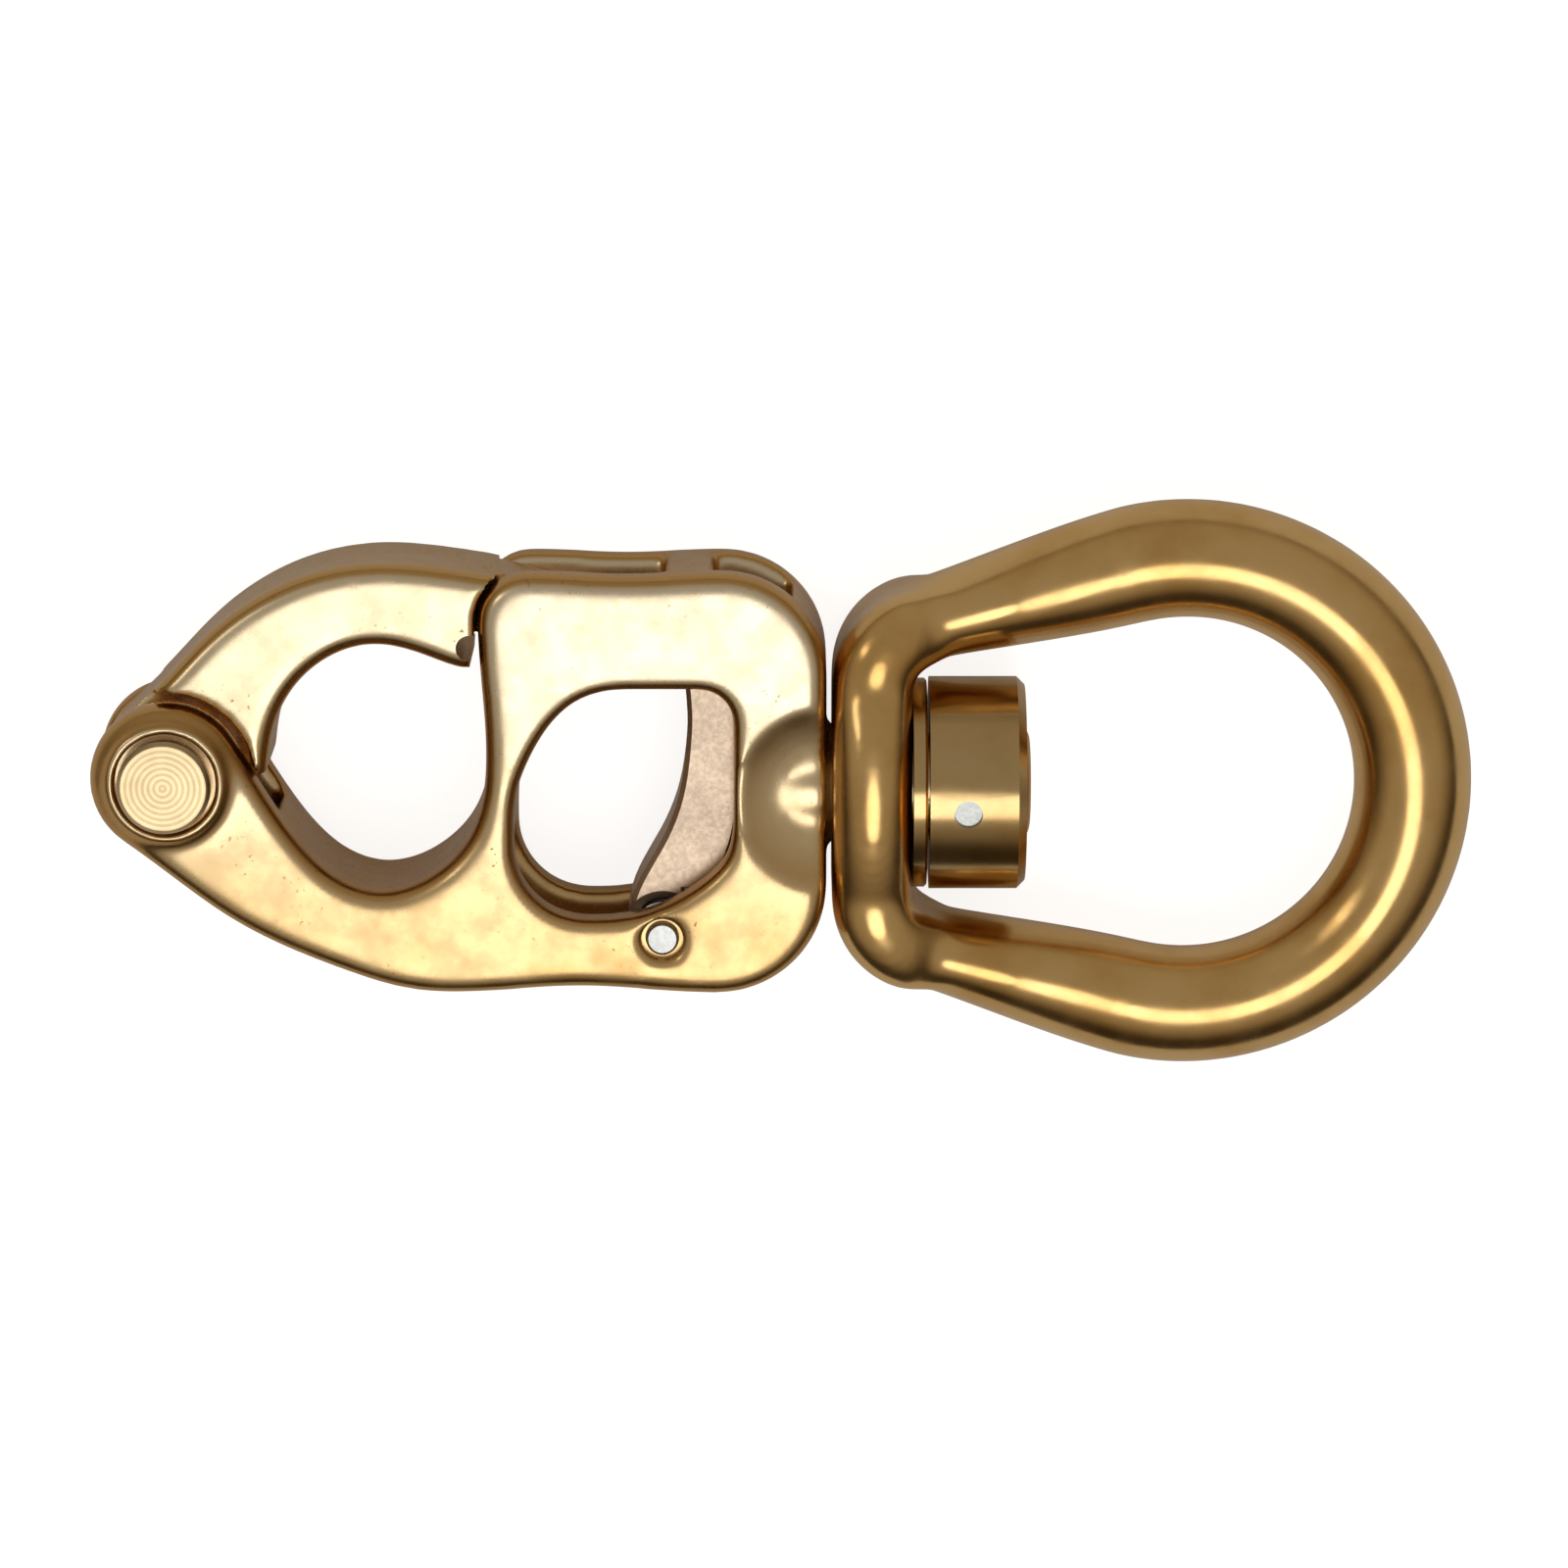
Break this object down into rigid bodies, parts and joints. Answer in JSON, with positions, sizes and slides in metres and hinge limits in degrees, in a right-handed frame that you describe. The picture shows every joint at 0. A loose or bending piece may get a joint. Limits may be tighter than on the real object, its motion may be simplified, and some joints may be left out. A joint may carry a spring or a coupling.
{
  "type": "snap shackle",
  "caption": "Trigger snap shackle: a hinged jaw latched by a trigger in a slotted body, with a large bail that swivels on the body's stem.",
  "frame": {"origin": "centre of the part's bounding box at its lowest point", "axes": "+X along the swivel's axis from the jaw towards the bail, +Y from the trigger's hinge towards the jaw's arm, +Z square to the cheeks"},
  "size_m": [0.0842, 0.0352, 0.0137],
  "materials": {
    "polished_bronze": "mirror polished",
    "matte_bronze": "bead blasted, matte",
    "steel_pin": "turned",
    "spring_wire": "drawn wire",
    "bearing_liner": "satin"
  },
  "bodies": {
    "housing": {"body": "polished_bronze", "jaw_pin": "steel_pin", "jaw_pin_collar": "steel_pin", "trigger_pin": "steel_pin", "thrust_washer": "matte_bronze", "swivel_nut": "polished_bronze", "nut_lock_pin": "steel_pin"},
    "jaw": {"jaw": "polished_bronze"},
    "trigger": {"trigger": "matte_bronze", "trigger_spring": "spring_wire"},
    "bail": {"bail": "polished_bronze", "bail_bearing": "bearing_liner"}
  },
  "joints": [
    {"name": "jaw_hinge", "type": "hinge", "parent": "housing", "child": "jaw", "pos_m": [-0.0374, 0.00105, 0.0068], "axis": [0, 0, 1], "range_deg": [0, 100]},
    {"name": "trigger_hinge", "type": "hinge", "parent": "housing", "child": "trigger", "pos_m": [-0.0074, -0.00875, 0.0068], "axis": [0, 0, -1], "range_deg": [0, 8], "stiffness_Nm_per_rad": 0.03, "springref_deg": -28.65},
    {"name": "bail_swivel", "type": "hinge", "parent": "housing", "child": "bail", "pos_m": [0.0053, 0, 0.0068], "axis": [1, 0, 0], "continuous": true}
  ]
}
